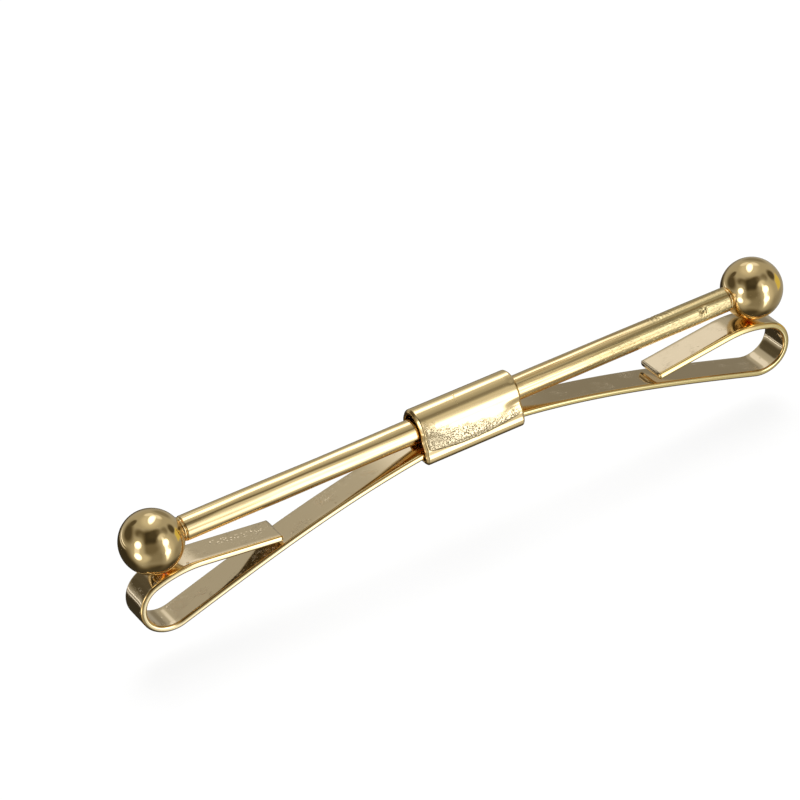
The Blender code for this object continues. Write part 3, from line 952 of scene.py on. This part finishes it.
# Where a patch of the tent lies, as 1 inside it and 0 outside with a soft edge: a point's distance from it
# is the sum of the two shares of its half sizes, each raised to the patch's power, under the same root
def patchMask(shader, where, azimuth, elevation, wide, high, soft, power):
    ways = [wayTo(azimuth, elevation), wayTo(azimuth + 90, 0), wayTo(azimuth, elevation + 90)]
    dot = {"operation": "DOT_PRODUCT"}
    ahead, aside, above = [shader.node("VectorMath", dot, {0: where, 1: way}, out="Value") for way in ways]
    sideShare = abs(aside / math.sin(math.radians(wide)))
    upShare = abs(above / math.sin(math.radians(high)))
    away = (sideShare ** power + upShare ** power) ** (1 / power)
    return shader.fall(away, 1 - soft, 1 + soft) * shader.rise(ahead, 0.0, 0.1)


# Tent: a sphere round the clip, worked out from its angles, that only mirrors see. Its glow is the wall's
# level, over which the patches are laid one by one, and a yellow card at its right. Its faces point inwards.
def makeTent():
    material, shader = newMaterial("tent_glow")
    where = shader.node("VectorMath", {"operation": "NORMALIZE"}, {0: shader.node("TexCoord", out="Object")})
    level = tent["wall"]
    for azimuth, elevation, wide, high, soft, power, glow in tent["patches"]:
        mask = patchMask(shader, where, azimuth, elevation, wide, high, soft, power)
        level = level + (glow - level) * mask
    card = tent["card"]
    size, soft, power = card["size"], card["soft"], card["power"]
    mask = patchMask(shader, where, card["azimuth"], card["elevation"], size, size, soft, power)
    level = level + (card["level"] - level) * mask
    tone = shader.blendColour(shader.rise(level, *tent["greyFrom"]), tent["dark"], tent["grey"])
    tone = shader.blendColour(shader.rise(level, *tent["litFrom"]), tone, tent["lit"])
    tone = shader.blendColour(mask, tone, tent["cardTone"])
    glowing = shader.node("Emission", {}, {"Color": tone, "Strength": level})
    shader.node("OutputMaterial", {}, {"Surface": glowing})
    material.cycles.emission_sampling = "NONE"
    turn = np.linspace(0, 2 * math.pi, tent["steps"], endpoint=False)
    tilt = np.linspace(-math.pi / 2, math.pi / 2, tent["rings"] + 2)[1:-1, None]
    across, height = np.cos(tilt), np.sin(tilt) + 0 * turn
    rows = np.stack([across * np.cos(turn), across * np.sin(turn), height], axis=-1)
    piece = gridPiece("tent", rows * tent["radius"], np.array([[0, 0, -1], [0, 0, 1]]) * tent["radius"])
    piece.data.materials.append(material)
    piece.location = (0, 0, axisHeight)
    for kind in ("camera", "diffuse", "transmission", "volume_scatter", "shadow"):
        setattr(piece, "visible_" + kind, False)


armOpening = math.radians(7)  # upper limit of both arms' hinges

floorLook = {
    "size": 3.0,
    "colour": (0.92, 0.92, 0.915, 1),
    "speckled": (0.9, 0.9, 0.895, 1),
    "whiteShare": 0.8,  # how much of it the camera sees as plain white
    "room": (cadBox[1][0] - mouthX) * math.sin(armOpening),  # under the clip, for its opened loops
}


def makeFloor():
    material, shader = newMaterial("pale_floor")
    speckle = shader.noise(shader.node("TexCoord", out="Object"), 900.0, 3.0)
    tone = shader.blendColour(speckle, floorLook["colour"], floorLook["speckled"])
    matt = shader.node("BsdfDiffuse", {}, {"Color": tone})
    white = shader.node("Emission", {}, {"Color": (1, 1, 1, 1), "Strength": 1.0})
    seen = shader.node("LightPath", out="Is Camera Ray")
    both = shader.node("MixShader", {}, {0: seen * floorLook["whiteShare"], 1: matt, 2: white})
    shader.node("OutputMaterial", {}, {"Surface": both})
    half = floorLook["size"] / 2
    mesh = bpy.data.meshes.new("floor")
    low = -floorLook["room"]
    corners = [(-half, -half, low), (half, -half, low), (half, half, low), (-half, half, low)]
    mesh.from_pydata(corners, [], [(0, 1, 2, 3)])
    mesh.materials.append(material)
    floor = bpy.data.objects.new("floor", mesh)
    floor.visible_glossy = False
    bpy.context.scene.collection.objects.link(floor)


worldLevel = 0.6  # of the light that the world casts, while it is seen and mirrored at 1
lampDistance = 0.34
lamps = {
    "overhead": {"azimuth": 34, "elevation": 66, "power": 0.75, "size": 0.24},
    "left": {"azimuth": -107, "elevation": 24, "power": 0.35, "size": 0.16},
    "front": {"azimuth": 155, "elevation": 24, "power": 0.35, "size": 0.16},
}


def makeLight():
    world = bpy.data.worlds.new("studio")
    world.use_nodes = True
    bpy.context.scene.world = world
    shader = Shader(world.node_tree)
    kinds = ("Is Camera Ray", "Is Glossy Ray", "Is Transmission Ray")
    seen, mirrored, through = shader.node("LightPath", out=kinds)
    plain = shader.calc("MAXIMUM", shader.calc("MAXIMUM", seen, mirrored), through)
    strength = worldLevel + plain * (1 - worldLevel)
    backdrop = shader.node("Background", {}, {"Color": (1, 1, 1, 1), "Strength": strength})
    shader.node("OutputWorld", {}, {"Surface": backdrop})
    for name, lamp in lamps.items():
        data = bpy.data.lights.new(name, "AREA")
        data.shape = "DISK"
        data.size = lamp["size"]
        data.energy = lamp["power"]
        item = bpy.data.objects.new(name, data)
        way = np.array(wayTo(lamp["azimuth"], lamp["elevation"]))
        item.location = way * lampDistance
        item.rotation_euler = (math.radians(90 - lamp["elevation"]), 0, math.radians(180 - lamp["azimuth"]))
        item.visible_glossy = False
        bpy.context.scene.collection.objects.link(item)


bpy.context.scene.view_settings.view_transform = "Standard"
bpy.context.scene.cycles.max_bounces = 16
bpy.context.scene.cycles.glossy_bounces = 16  # the polished ball and the strip under it mirror each other
makeBar()
makeBalls(ballMaterial())
makeSolder(solderMaterial())
makeSpring(springMaterial())
makeSleeve(sleeveMaterial())
print("pieces made")
makeCamera()
makeLight()
makeFloor()
makeTent()
print("studio made")
